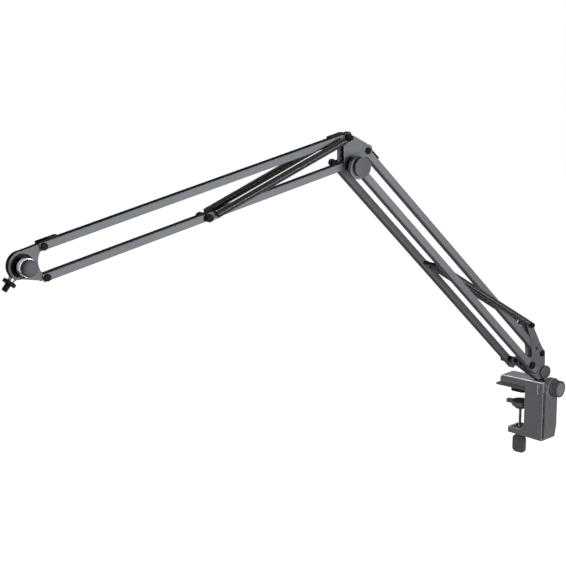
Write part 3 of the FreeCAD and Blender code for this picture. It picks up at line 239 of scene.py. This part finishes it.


# painted highlight on the rounded corners of a casting that stands square to its own axes: for a normal turned
# into those axes the mask is (2 * (1 - x^4 - y^4 - z^4)) ^ sharp, nought on the flats and full halfway between
# two of them, times a share that rises with z from the side share to 1, so that corners facing up get the
# brightest painted highlight; the cover behind the seam has none
def makeRoundGroup():
    group = bpy.data.node_groups.new("roundSheen", "ShaderNodeTree")
    for label, low, high in (("Turn", -7, 7), ("Sharp", 0.1, 20), ("Side Share", 0, 1), ("Seam", -1, 1)):
        socket = group.interface.new_socket(label, in_out="INPUT", socket_type="NodeSocketFloat")
        socket.min_value = low
        socket.max_value = high
    group.interface.new_socket("Mask", in_out="OUTPUT", socket_type="NodeSocketFloat")
    add = group.nodes.new
    entry = add("NodeGroupInput")
    leave = add("NodeGroupOutput")
    own = add("ShaderNodeTexCoord")
    square = add("ShaderNodeVectorRotate")
    placed = add("ShaderNodeVectorRotate")
    second = add("ShaderNodeVectorMath")
    second.operation = "MULTIPLY"
    fourth = add("ShaderNodeVectorMath")
    fourth.operation = "DOT_PRODUCT"
    rest = add("ShaderNodeMath")
    rest.operation = "SUBTRACT"
    rest.inputs[0].default_value = 1
    twice = add("ShaderNodeMath")
    twice.operation = "MULTIPLY"
    twice.use_clamp = True
    twice.inputs[1].default_value = 2
    narrow = add("ShaderNodeMath")
    narrow.operation = "POWER"
    parts = add("ShaderNodeSeparateXYZ")
    upward = add("ShaderNodeMapRange")
    upward.inputs["From Max"].default_value = math.sqrt(0.5)
    scaled = add("ShaderNodeMath")
    scaled.operation = "MULTIPLY"
    spot = add("ShaderNodeSeparateXYZ")
    ahead = add("ShaderNodeMath")
    ahead.operation = "GREATER_THAN"
    kept = add("ShaderNodeMath")
    kept.operation = "MULTIPLY"
    for turned, source in ((square, "Normal"), (placed, "Object")):
        turned.rotation_type = "Z_AXIS"
        group.links.new(own.outputs[source], turned.inputs["Vector"])
        group.links.new(entry.outputs["Turn"], turned.inputs["Angle"])
    for slot in (0, 1):
        group.links.new(square.outputs["Vector"], second.inputs[slot])
        group.links.new(second.outputs["Vector"], fourth.inputs[slot])
    group.links.new(fourth.outputs["Value"], rest.inputs[1])
    group.links.new(rest.outputs[0], twice.inputs[0])
    group.links.new(twice.outputs[0], narrow.inputs[0])
    group.links.new(entry.outputs["Sharp"], narrow.inputs[1])
    group.links.new(square.outputs["Vector"], parts.inputs["Vector"])
    group.links.new(parts.outputs["Z"], upward.inputs["Value"])
    group.links.new(entry.outputs["Side Share"], upward.inputs["To Min"])
    group.links.new(narrow.outputs[0], scaled.inputs[0])
    group.links.new(upward.outputs["Result"], scaled.inputs[1])
    group.links.new(placed.outputs["Vector"], spot.inputs["Vector"])
    group.links.new(spot.outputs["Y"], ahead.inputs[0])
    group.links.new(entry.outputs["Seam"], ahead.inputs[1])
    group.links.new(scaled.outputs[0], kept.inputs[0])
    group.links.new(ahead.outputs[0], kept.inputs[1])
    group.links.new(kept.outputs[0], leave.inputs["Mask"])
    return group


skinGroup = makeSkinGroup()
edgeGroup = makeEdgeGroup()
roundGroup = makeRoundGroup()
lockWay = np.array(joints["swivel_lock_turn"]["axis"])
clampTurn = math.atan2(lockWay[0], -lockWay[1])

# one entry for each finish: two near colours and the colour of the painted highlight on edges, roughness and
# its spread, metal, scale of grain and patches, bump, gloss, the painted edge highlight's width in mm and its
# reach, and for the casting how sharp its painted corner highlights are, how much of them its upright corners
# keep, and the seam in mm along its depth
finishSet = {
    # the casting's pale edge colour of 0.8 is a strong painted highlight on its edges and upper corners
    "cast_charcoal": {"dark": 0.070, "pale": 0.086, "paintedHighlight": 0.8, "rough": 0.34, "spread": 0.2, "metal": 0.0,
                      "grain": 900, "patch": 40, "bump": 0.12, "gloss": 0.22, "edge": 1.6, "reach": 1.6,
                      "round": 2.0, "sideShare": 0.12, "seam": -61.0},
    "tube_black": {"dark": 0.112, "pale": 0.127, "paintedHighlight": 0.15, "rough": 0.48, "spread": 0.15, "metal": 0.0,
                   "grain": 1400, "patch": 25, "bump": 0.05, "gloss": 0.0, "edge": 0.6, "reach": 2.5},
    "bracket_black": {"dark": 0.096, "pale": 0.110, "paintedHighlight": 0.20, "rough": 0.5, "spread": 0.15, "metal": 0.0,
                      "grain": 1200, "patch": 40, "bump": 0.06, "gloss": 0.0, "edge": 0.5, "reach": 2.5},
    "hardware_black": {"dark": 0.005, "pale": 0.008, "paintedHighlight": 0.02, "rough": 0.42, "spread": 0.2, "metal": 0.0,
                       "grain": 1500, "patch": 90, "bump": 0.05, "gloss": 0.03, "edge": 0.35, "reach": 2.5},
    "spring_black": {"dark": 0.002, "pale": 0.003, "paintedHighlight": 0.01, "rough": 0.2, "spread": 0.2, "metal": 0.0,
                     "grain": 1500, "patch": 90, "bump": 0.03, "gloss": 0.5, "edge": 0.2, "reach": 2.5},
    "knob_plastic": {"dark": 0.056, "pale": 0.067, "paintedHighlight": 0.11, "rough": 0.55, "spread": 0.12, "metal": 0.0,
                     "grain": 1600, "patch": 60, "bump": 0.14, "gloss": 0.1, "edge": 0.6, "reach": 2.5},
    "plug_plastic": {"dark": 0.008, "pale": 0.012, "paintedHighlight": 0.02, "rough": 0.55, "spread": 0.12, "metal": 0.0,
                     "grain": 1600, "patch": 60, "bump": 0.10, "gloss": 0.02, "edge": 0.35, "reach": 2.5},
    "pad_rubber": {"dark": 0.010, "pale": 0.015, "paintedHighlight": 0.02, "rough": 0.8, "spread": 0.1, "metal": 0.0,
                   "grain": 1100, "patch": 60, "bump": 0.25, "gloss": 0.04, "edge": 0.5, "reach": 2.5},
    "dark_steel": {"dark": 0.06, "pale": 0.09, "paintedHighlight": 0.16, "rough": 0.3, "spread": 0.2, "metal": 1.0,
                   "grain": 1800, "patch": 120, "bump": 0.03, "gloss": 0.3, "edge": 0.35, "reach": 2.5},
    "light_metal": {"dark": 0.62, "pale": 0.72, "paintedHighlight": 0.8, "rough": 0.32, "spread": 0.2, "metal": 1.0,
                    "grain": 1800, "patch": 120, "bump": 0.04, "gloss": 0.5, "edge": 0.5, "reach": 2.5},
    "stub_metal": {"dark": 0.13, "pale": 0.17, "paintedHighlight": 0.3, "rough": 0.4, "spread": 0.2, "metal": 1.0,
                   "grain": 1800, "patch": 120, "bump": 0.04, "gloss": 0.5, "edge": 0.5, "reach": 2.5},
}


def makeFinish(label, spec):
    material = bpy.data.materials.new(label)
    material.use_nodes = True
    tree = material.node_tree
    shader = tree.nodes["Principled BSDF"]
    skin = tree.nodes.new("ShaderNodeGroup")
    skin.node_tree = skinGroup
    skin.inputs["Grain Scale"].default_value = spec["grain"]
    skin.inputs["Patch Scale"].default_value = spec["patch"]
    skin.inputs["Spread"].default_value = spec["spread"]
    edge = tree.nodes.new("ShaderNodeGroup")
    edge.node_tree = edgeGroup
    edge.inputs["Radius"].default_value = spec["edge"] * mm
    edge.inputs["Reach"].default_value = spec["reach"]
    tone = tree.nodes.new("ShaderNodeMix")
    tone.data_type = "RGBA"
    highlightMix = tree.nodes.new("ShaderNodeMix")
    highlightMix.data_type = "RGBA"
    # the pale colour mixed in at edges is a painted highlight, not the paint's own colour
    for mix, side, shade in ((tone, firstColour, spec["dark"]), (tone, secondColour, spec["pale"]),
                             (highlightMix, secondColour, spec["paintedHighlight"])):
        mix.inputs[side].default_value = tuple(shade * part for part in groupSet["tint"]) + (1,)
    tree.links.new(skin.outputs["Patch"], tone.inputs[0])
    paintedHighlightMask = edge.outputs["Mask"]
    # the casting also gets a painted highlight on its rounded corners, joined to the painted edge highlight
    if "round" in spec:
        corner = tree.nodes.new("ShaderNodeGroup")
        corner.node_tree = roundGroup
        corner.inputs["Turn"].default_value = -clampTurn
        corner.inputs["Sharp"].default_value = spec["round"]
        corner.inputs["Side Share"].default_value = spec["sideShare"]
        corner.inputs["Seam"].default_value = spec["seam"] * mm
        either = tree.nodes.new("ShaderNodeMath")
        either.operation = "MAXIMUM"
        tree.links.new(paintedHighlightMask, either.inputs[0])
        tree.links.new(corner.outputs["Mask"], either.inputs[1])
        paintedHighlightMask = either.outputs[0]
    # the mask lays the painted highlight colour over the tone on edges and rounded corners
    tree.links.new(paintedHighlightMask, highlightMix.inputs[0])
    tree.links.new(tone.outputs[mixedColour], highlightMix.inputs[firstColour])
    tree.links.new(highlightMix.outputs[mixedColour], shader.inputs["Base Color"])
    roughness = tree.nodes.new("ShaderNodeMath")
    roughness.use_clamp = True
    roughness.inputs[1].default_value = spec["rough"]
    tree.links.new(skin.outputs["Rough Shift"], roughness.inputs[0])
    tree.links.new(roughness.outputs[0], shader.inputs["Roughness"])
    shader.inputs["Metallic"].default_value = spec["metal"]
    shader.inputs["Specular IOR Level"].default_value = spec["gloss"]
    bump = tree.nodes.new("ShaderNodeBump")
    bump.inputs["Strength"].default_value = spec["bump"]
    bump.inputs["Distance"].default_value = groupSet["bumpDepth"]
    tree.links.new(skin.outputs["Fine"], bump.inputs["Height"])
    tree.links.new(edge.outputs["Normal"], bump.inputs["Normal"])
    tree.links.new(bump.outputs["Normal"], shader.inputs["Normal"])
    return material


finishes = {label: makeFinish(label, spec) for label, spec in finishSet.items()}
slotOf = {item["node"]: item["material_slot"] for item in frame["record"]["subparts"]}
ownFinish = {"mic_stub": "stub_metal"}
for node, label in slotOf.items():
    cadObject = frame["nodes"][node]
    cadObject.data.materials.clear()
    cadObject.data.materials.append(finishes[ownFinish.get(node, label)])
print("finishes set")


# quads of a grid of rows by columns, closed round its columns; the two end rings become caps
def tubeFaces(rows, columns, start):
    row = np.arange(rows - 1)[:, None]
    column = np.arange(columns)[None, :]
    after = (column + 1) % columns
    corners = [row * columns + column, row * columns + after,
               (row + 1) * columns + after, (row + 1) * columns + column]
    quads = np.stack(corners, axis=-1).reshape(-1, 4) + start
    faces = [tuple(quad) for quad in quads.tolist()]
    faces.append(tuple(range(start + columns - 1, start - 1, -1)))
    faces.append(tuple(range(start + (rows - 1) * columns, start + rows * columns)))
    return faces


# a round wire along a path: each ring is the path point plus radius times (cos v * side + sin v * up)
def wireRings(path, side, up, radius, columns):
    turn = np.arange(columns) * 2 * math.pi / columns
    ring = np.cos(turn)[None, :, None] * side[:, None, :] + np.sin(turn)[None, :, None] * up[:, None, :]
    return path[:, None, :] + radius * ring


def makePiece(label, grids, slot, body, finish=None):
    points = []
    faces = []
    for grid in grids:
        faces += tubeFaces(grid.shape[0], grid.shape[1], len(points))
        points += [tuple(point) for point in grid.reshape(-1, 3).tolist()]
    mesh = bpy.data.meshes.new(label)
    mesh.from_pydata(points, [], faces)
    mesh.polygons.foreach_set("use_smooth", [True] * len(mesh.polygons))
    mesh.materials.append(finishes[finish or slot])
    piece = bpy.data.objects.new(label, mesh)
    bpy.context.collection.objects.link(piece)
    if body:
        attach(piece, body)
    return piece


def unit(vector):
    return vector / np.linalg.norm(vector)


# close-wound springs: a coil whose turns lie side by side, a loop round each pin and a short lead between
springSet = {"wire": 1.5 * mm, "gap": 0.12 * mm, "hook": 13 * mm, "steps": 18, "columns": 8, "pin": 3 * mm,
             "blendShare": 0.3, "leadSteps": 14, "loopSteps": 22, "loopHalfTurns": 1.35,
             "arms": {"forearm": {"outer": 12 * mm, "side": 16.2 * mm, "topPin": "elbow_top_pin",
                                  "footPin": "forearm_spring_pin", "topBody": "elbow", "footBody": "forearm"},
                      "lower": {"outer": 10.6 * mm, "side": 14.8 * mm, "topPin": "base_spring_pins",
                                "footPin": "lower_spring_pin", "topBody": "base", "footBody": "lower_arm"}}}


def nodeCentre(node):
    low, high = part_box(node)
    return (np.array(low) + np.array(high)) / 2


# coil point = first + radius * (cos a * aside + sin a * out) + axis * a's share of the length
def coilGrids(top, foot, outer):
    wire = springSet["wire"]
    radius = outer / 2 - wire / 2
    axis = unit(foot - top)
    out = np.array([0.0, 1.0, 0.0])
    aside = np.cross(axis, out)
    first = top + axis * springSet["hook"]
    last = foot - axis * springSet["hook"]
    length = np.linalg.norm(last - first)
    turns = int(length / (wire + springSet["gap"]))
    angle = np.linspace(0, turns * 2 * math.pi, turns * springSet["steps"] + 1)
    radial = np.cos(angle)[:, None] * aside + np.sin(angle)[:, None] * out
    path = first + radial * radius + axis * (angle / angle[-1] * length)[:, None]
    tangent = np.cos(angle)[:, None] * out - np.sin(angle)[:, None] * aside
    grids = [wireRings(path, radial, np.cross(tangent, radial), wire / 2, springSet["columns"])]
    # lead and loop at each end: out of the coil's rim, in to the axis, and most of the way round the pin
    for pin, rim, way in ((top, first, -axis), (foot, last, axis)):
        loop = springSet["pin"] + wire / 2
        start = rim + aside * radius
        sweep = np.linspace(0, 1, springSet["leadSteps"])
        bow = (1 - np.cos(sweep * math.pi)) / 2
        onward = way * (np.linalg.norm(pin - rim) * sweep)[:, None]
        lead = start + onward + aside * ((loop - radius) * bow)[:, None]
        bend = np.linspace(0, springSet["loopHalfTurns"] * math.pi, springSet["loopSteps"])
        ring = pin + np.cos(bend)[:, None] * aside * loop + np.sin(bend)[:, None] * way * loop
        line = np.vstack([lead, ring[1:]])
        slope = np.gradient(line, axis=0)
        slope /= np.linalg.norm(slope, axis=1)[:, None]
        outRow = np.tile(out, (len(line), 1))
        grids.append(wireRings(line, np.cross(outRow, slope), outRow, wire / 2, springSet["columns"]))
    return grids


for armName, arm in springSet["arms"].items():
    for sideName, sign in (("near", -1), ("far", 1)):
        shift = np.array([0.0, sign * arm["side"], 0.0])
        top = nodeCentre(arm["topPin"]) + shift
        foot = nodeCentre(arm["footPin"]) + shift
        grids = coilGrids(top, foot, arm["outer"])
        coil = makePiece(f"{sideName}_{armName}_coil", grids, "spring_black", None)
        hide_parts(f"{sideName}_{armName}_spring")
        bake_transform(coil)
print("springs wound")


# a threaded rod: radius = the profile's radius minus depth times a triangle wave of (distance / pitch - turn)
def threadGrid(start, way, profile, spec):
    reach = np.arange(profile[0][0], profile[-1][0], spec["pitch"] / spec["steps"])
    distances, radii = zip(*profile)
    reach = np.union1d(reach, distances)
    plain = np.interp(reach, distances, radii)
    turn = np.arange(spec["columns"]) / spec["columns"]
    wave = np.abs(2 * np.mod(reach[:, None] / spec["pitch"] - turn[None, :], 1) - 1)
    cutIn = ((reach > spec["from"]) & (reach < spec["to"]))[:, None]
    radius = plain[:, None] - spec["depth"] * wave * cutIn
    side = np.array([0.0, 1.0, 0.0])
    up = unit(np.cross(way, side))
    angle = turn * 2 * math.pi
    ring = np.cos(angle)[:, None] * side + np.sin(angle)[:, None] * up
    return start + reach[:, None, None] * way + radius[:, :, None] * ring[None, :, :]


# width of the sharp step between two radii of a rod's profile
profileStep = 0.01 * mm

# clamp screw: plain end in the plate's socket, then a pointed thread down to the paddle
screwSet = {"pitch": 2 * mm, "steps": 8, "columns": 28, "depth": 0.6 * mm,
            "tip": 2.3 * mm, "tipLength": 4.7 * mm}
low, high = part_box("clamp_screw")
screwRadius = (high[0] - low[0]) / 2
screwLength = high[2] - low[2]
screwStart = np.array([(low[0] + high[0]) / 2, (low[1] + high[1]) / 2, high[2]])
screwSet["from"] = screwSet["tipLength"]
screwSet["to"] = screwLength
screwProfile = [(0, screwSet["tip"]), (screwSet["tipLength"] - profileStep, screwSet["tip"]),
                (screwSet["tipLength"], screwRadius), (screwLength, screwRadius)]
screwGrid = threadGrid(screwStart, np.array([0.0, 0.0, -1.0]), screwProfile, screwSet)
screwPiece = makePiece("clamp_screw_thread", [screwGrid], "dark_steel", "clamp_spindle")
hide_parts("clamp_screw")

# microphone stud: a shank in the stub and a 3/8 inch thread of 16 turns to the inch, its distances counted from
# the head's pivot
studSet = {"pitch": 25.4 / 16 * mm, "steps": 8, "columns": 28, "depth": 0.7 * mm, "shank": 4.6 * mm,
           "start": 22.3 * mm, "from": 32.4 * mm, "to": 43.3 * mm, "crest": 4.7625 * mm, "bevel": 0.9 * mm}
studWay = np.array(joints["stud_nut_turn"]["axis"])
studStart = np.array(joints["head_tilt"]["pos_m"])
studProfile = [(studSet["start"], studSet["shank"]), (studSet["from"], studSet["shank"]),
               (studSet["from"] + profileStep, studSet["crest"]),
               (studSet["to"] - studSet["bevel"], studSet["crest"]),
               (studSet["to"], studSet["crest"] - studSet["bevel"])]
studGrid = threadGrid(studStart, studWay, studProfile, studSet)
studPiece = makePiece("mic_stud_thread", [studGrid], "hardware_black", "mic_holder")
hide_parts("mic_stud")
print("threads cut")

# bare metal disc in the dish of the lock knob's face, with fine turned rings:
# height = thick + wave * cos(full turn * radius / pitch)
badgeSet = {"floor": 86.45 * mm, "thick": 0.72 * mm, "radius": 12.2 * mm, "bevel": 0.3 * mm, "hub": 0.6 * mm,
            "wave": 0.03 * mm, "pitch": 1.1 * mm, "rows": 60, "columns": 64}
badgeStart = lockWay * badgeSet["floor"] + np.array([0, 0, joints["swivel_lock_turn"]["pos_m"][2]])
badgeRadii = np.linspace(badgeSet["radius"] - badgeSet["bevel"], badgeSet["hub"], badgeSet["rows"])
badgeHeights = badgeSet["thick"] + badgeSet["wave"] * np.cos(badgeRadii * 2 * math.pi / badgeSet["pitch"])
badgeRim = badgeSet["radius"]
badgeRadii = np.concatenate([[badgeRim, badgeRim], badgeRadii])
badgeHeights = np.concatenate([[0, badgeSet["thick"] - badgeSet["bevel"]], badgeHeights])
badgeTurn = np.arange(badgeSet["columns"]) * 2 * math.pi / badgeSet["columns"]
badgeSide = np.array([0.0, 0.0, 1.0])
badgeRing = np.cos(badgeTurn)[:, None] * badgeSide + np.sin(badgeTurn)[:, None] * np.cross(lockWay, badgeSide)
badgeRise = badgeHeights[:, None, None] * lockWay
badgeGrid = badgeStart + badgeRise + badgeRadii[:, None, None] * badgeRing[None, :, :]
makePiece("lock_badge", [badgeGrid], "light_metal", "swivel_lock", "stub_metal")
print("badge set")
